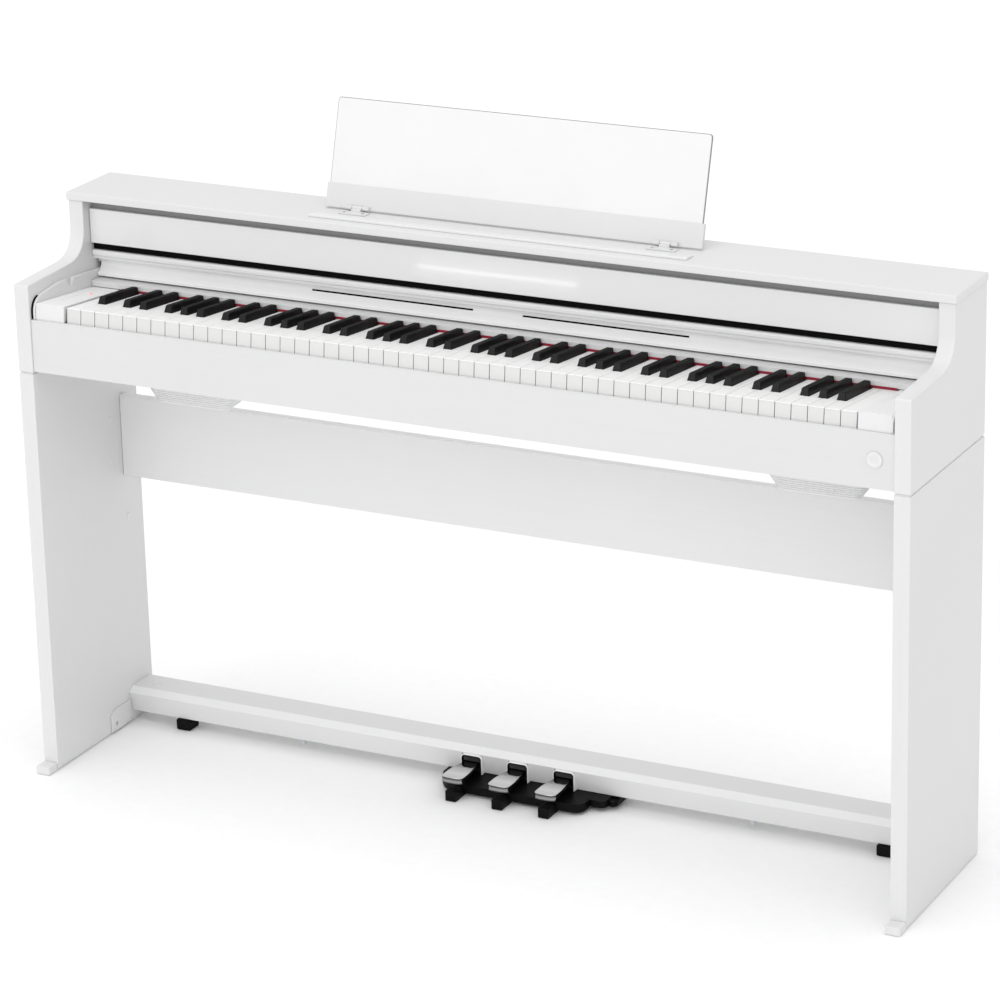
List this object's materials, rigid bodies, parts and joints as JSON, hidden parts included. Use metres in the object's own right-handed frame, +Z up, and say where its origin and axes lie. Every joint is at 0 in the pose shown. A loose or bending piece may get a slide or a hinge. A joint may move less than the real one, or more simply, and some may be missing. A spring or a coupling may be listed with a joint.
{
  "type": "console digital piano",
  "caption": "Slim white console piano on board legs with a tilted keyboard, sliding key cover, folding music rest and a cross beam with chrome pedals.",
  "frame": {"origin": "on the floor under the middle of the bounding box", "axes": "+X to the right as the player sees it, +Y from the player to the back, +Z up"},
  "size_m": [1.393, 0.299, 1.0133],
  "materials": {
    "satin_white": "satin painted board with a faint grain",
    "gloss_white": "polished white",
    "key_white": "semi-gloss ivory white",
    "key_black": "matte black",
    "plastic_white": "fine satin",
    "plastic_black": "fine satin",
    "rubber_black": "matte",
    "felt_red": "napped felt",
    "chrome": "polished",
    "steel": "satin",
    "circuit_green": "solder mask"
  },
  "bodies": {
    "cabinet": {"top_board": "satin_white", "left_cheek": "satin_white", "right_cheek": "satin_white", "left_leg": "satin_white", "right_leg": "satin_white", "panel_batten": "satin_white", "rear_panel": "satin_white", "bottom_board": "satin_white", "key_slip": "satin_white", "modesty_board": "satin_white", "felt_rail": "satin_white", "music_ledge": "satin_white", "pedal_beam": "satin_white", "front_panel": "gloss_white", "left_foot": "plastic_white", "right_foot": "plastic_white", "left_speaker_box": "plastic_white", "right_speaker_box": "plastic_white", "left_end_block": "plastic_white", "right_end_block": "plastic_white", "left_liner": "plastic_white", "right_liner": "plastic_white", "left_rest_hinge": "plastic_white", "right_rest_hinge": "plastic_white", "left_leg_bracket": "plastic_white", "right_leg_bracket": "plastic_white", "power_inlet": "plastic_black", "pedal_housing": "plastic_black", "main_board": "circuit_green", "key_frame": "steel", "key_felt": "felt_red", "left_beam_foot": "rubber_black", "right_beam_foot": "rubber_black"},
    "volume_knob": {"volume_knob": "plastic_white"},
    "power_button": {"power_button": "plastic_white"},
    "lid_front": {"lid_front": "satin_white", "lid_apron": "satin_white", "lid_lip": "satin_white"},
    "lid_rear": {"lid_rear": "satin_white"},
    "music_rest": {"music_rest": "satin_white"},
    "soft_pedal": {"soft_pedal": "chrome"},
    "sostenuto_pedal": {"sostenuto_pedal": "chrome"},
    "damper_pedal": {"damper_pedal": "chrome"},
    "white_keys_low": {"white_keys_low": "key_white"},
    "black_keys_low": {"black_keys_low": "key_black"},
    "key_c4": {"key_c4": "key_white"},
    "key_c4_sharp": {"key_c4_sharp": "key_black"},
    "key_d4": {"key_d4": "key_white"},
    "key_d4_sharp": {"key_d4_sharp": "key_black"},
    "key_e4": {"key_e4": "key_white"},
    "key_f4": {"key_f4": "key_white"},
    "key_f4_sharp": {"key_f4_sharp": "key_black"},
    "key_g4": {"key_g4": "key_white"},
    "key_g4_sharp": {"key_g4_sharp": "key_black"},
    "key_a4": {"key_a4": "key_white"},
    "key_a4_sharp": {"key_a4_sharp": "key_black"},
    "key_b4": {"key_b4": "key_white"},
    "white_keys_high": {"white_keys_high": "key_white"},
    "black_keys_high": {"black_keys_high": "key_black"}
  },
  "joints": [
    {"name": "white_keys_low_hinge", "type": "hinge", "parent": "cabinet", "child": "white_keys_low", "pos_m": [0, 0.08883, 0.69863], "axis": [1, 0, 0], "range_deg": [0, 2.8], "stiffness_Nm_per_rad": 14, "springref_deg": -14.32},
    {"name": "black_keys_low_hinge", "type": "hinge", "parent": "cabinet", "child": "black_keys_low", "pos_m": [0, 0.08883, 0.69863], "axis": [1, 0, 0], "range_deg": [0, 2.8], "stiffness_Nm_per_rad": 6, "springref_deg": -14.32},
    {"name": "key_c4_hinge", "type": "hinge", "parent": "cabinet", "child": "key_c4", "pos_m": [0, 0.08883, 0.69863], "axis": [1, 0, 0], "range_deg": [0, 2.8], "stiffness_Nm_per_rad": 0.6, "springref_deg": -14.32},
    {"name": "key_c4_sharp_hinge", "type": "hinge", "parent": "cabinet", "child": "key_c4_sharp", "pos_m": [0, 0.08883, 0.69863], "axis": [1, 0, 0], "range_deg": [0, 2.8], "stiffness_Nm_per_rad": 0.4, "springref_deg": -14.32},
    {"name": "key_d4_hinge", "type": "hinge", "parent": "cabinet", "child": "key_d4", "pos_m": [0, 0.08883, 0.69863], "axis": [1, 0, 0], "range_deg": [0, 2.8], "stiffness_Nm_per_rad": 0.6, "springref_deg": -14.32},
    {"name": "key_d4_sharp_hinge", "type": "hinge", "parent": "cabinet", "child": "key_d4_sharp", "pos_m": [0, 0.08883, 0.69863], "axis": [1, 0, 0], "range_deg": [0, 2.8], "stiffness_Nm_per_rad": 0.4, "springref_deg": -14.32},
    {"name": "key_e4_hinge", "type": "hinge", "parent": "cabinet", "child": "key_e4", "pos_m": [0, 0.08883, 0.69863], "axis": [1, 0, 0], "range_deg": [0, 2.8], "stiffness_Nm_per_rad": 0.6, "springref_deg": -14.32},
    {"name": "key_f4_hinge", "type": "hinge", "parent": "cabinet", "child": "key_f4", "pos_m": [0, 0.08883, 0.69863], "axis": [1, 0, 0], "range_deg": [0, 2.8], "stiffness_Nm_per_rad": 0.6, "springref_deg": -14.32},
    {"name": "key_f4_sharp_hinge", "type": "hinge", "parent": "cabinet", "child": "key_f4_sharp", "pos_m": [0, 0.08883, 0.69863], "axis": [1, 0, 0], "range_deg": [0, 2.8], "stiffness_Nm_per_rad": 0.4, "springref_deg": -14.32},
    {"name": "key_g4_hinge", "type": "hinge", "parent": "cabinet", "child": "key_g4", "pos_m": [0, 0.08883, 0.69863], "axis": [1, 0, 0], "range_deg": [0, 2.8], "stiffness_Nm_per_rad": 0.6, "springref_deg": -14.32},
    {"name": "key_g4_sharp_hinge", "type": "hinge", "parent": "cabinet", "child": "key_g4_sharp", "pos_m": [0, 0.08883, 0.69863], "axis": [1, 0, 0], "range_deg": [0, 2.8], "stiffness_Nm_per_rad": 0.4, "springref_deg": -14.32},
    {"name": "key_a4_hinge", "type": "hinge", "parent": "cabinet", "child": "key_a4", "pos_m": [0, 0.08883, 0.69863], "axis": [1, 0, 0], "range_deg": [0, 2.8], "stiffness_Nm_per_rad": 0.6, "springref_deg": -14.32},
    {"name": "key_a4_sharp_hinge", "type": "hinge", "parent": "cabinet", "child": "key_a4_sharp", "pos_m": [0, 0.08883, 0.69863], "axis": [1, 0, 0], "range_deg": [0, 2.8], "stiffness_Nm_per_rad": 0.4, "springref_deg": -14.32},
    {"name": "key_b4_hinge", "type": "hinge", "parent": "cabinet", "child": "key_b4", "pos_m": [0, 0.08883, 0.69863], "axis": [1, 0, 0], "range_deg": [0, 2.8], "stiffness_Nm_per_rad": 0.6, "springref_deg": -14.32},
    {"name": "white_keys_high_hinge", "type": "hinge", "parent": "cabinet", "child": "white_keys_high", "pos_m": [0, 0.08883, 0.69863], "axis": [1, 0, 0], "range_deg": [0, 2.8], "stiffness_Nm_per_rad": 14, "springref_deg": -14.32},
    {"name": "black_keys_high_hinge", "type": "hinge", "parent": "cabinet", "child": "black_keys_high", "pos_m": [0, 0.08883, 0.69863], "axis": [1, 0, 0], "range_deg": [0, 2.8], "stiffness_Nm_per_rad": 6, "springref_deg": -14.32},
    {"name": "lid_slide", "type": "slide", "parent": "cabinet", "child": "lid_front", "axis": [0, -0.9972, 0.075], "range_m": [0, 0.166]},
    {"name": "lid_fold", "type": "hinge", "parent": "lid_front", "child": "lid_rear", "pos_m": [0, 0.135, 0.75536], "axis": [1, 0, 0], "range_deg": [0, 85.8]},
    {"name": "rest_hinge", "type": "hinge", "parent": "cabinet", "child": "music_rest", "pos_m": [0, 0.09283, 0.86505], "axis": [1, 0, 0], "range_deg": [0, 106]},
    {"name": "soft_pedal_hinge", "type": "hinge", "parent": "cabinet", "child": "soft_pedal", "pos_m": [-0.076, 0.124, 0.031], "axis": [1, 0, 0], "range_deg": [0, 4.8], "stiffness_Nm_per_rad": 3, "springref_deg": -17.19},
    {"name": "sostenuto_pedal_hinge", "type": "hinge", "parent": "cabinet", "child": "sostenuto_pedal", "pos_m": [0, 0.124, 0.031], "axis": [1, 0, 0], "range_deg": [0, 4.8], "stiffness_Nm_per_rad": 3, "springref_deg": -17.19},
    {"name": "damper_pedal_hinge", "type": "hinge", "parent": "cabinet", "child": "damper_pedal", "pos_m": [0.076, 0.124, 0.031], "axis": [1, 0, 0], "range_deg": [0, 4.8], "stiffness_Nm_per_rad": 3, "springref_deg": -17.19},
    {"name": "volume_turn", "type": "hinge", "parent": "cabinet", "child": "volume_knob", "pos_m": [0.642, -0.1235, 0.6703], "axis": [0, -1, 0], "range_deg": [-150, 150]},
    {"name": "power_press", "type": "slide", "parent": "cabinet", "child": "power_button", "axis": [0, -0.1045, -0.9945], "range_m": [0, 0.0012], "stiffness_N_per_m": 400, "springref_m": -0.001}
  ],
  "couplings": [
    {"joint": "lid_fold", "follows": "lid_slide", "rad_per_m": 9.0105}
  ]
}
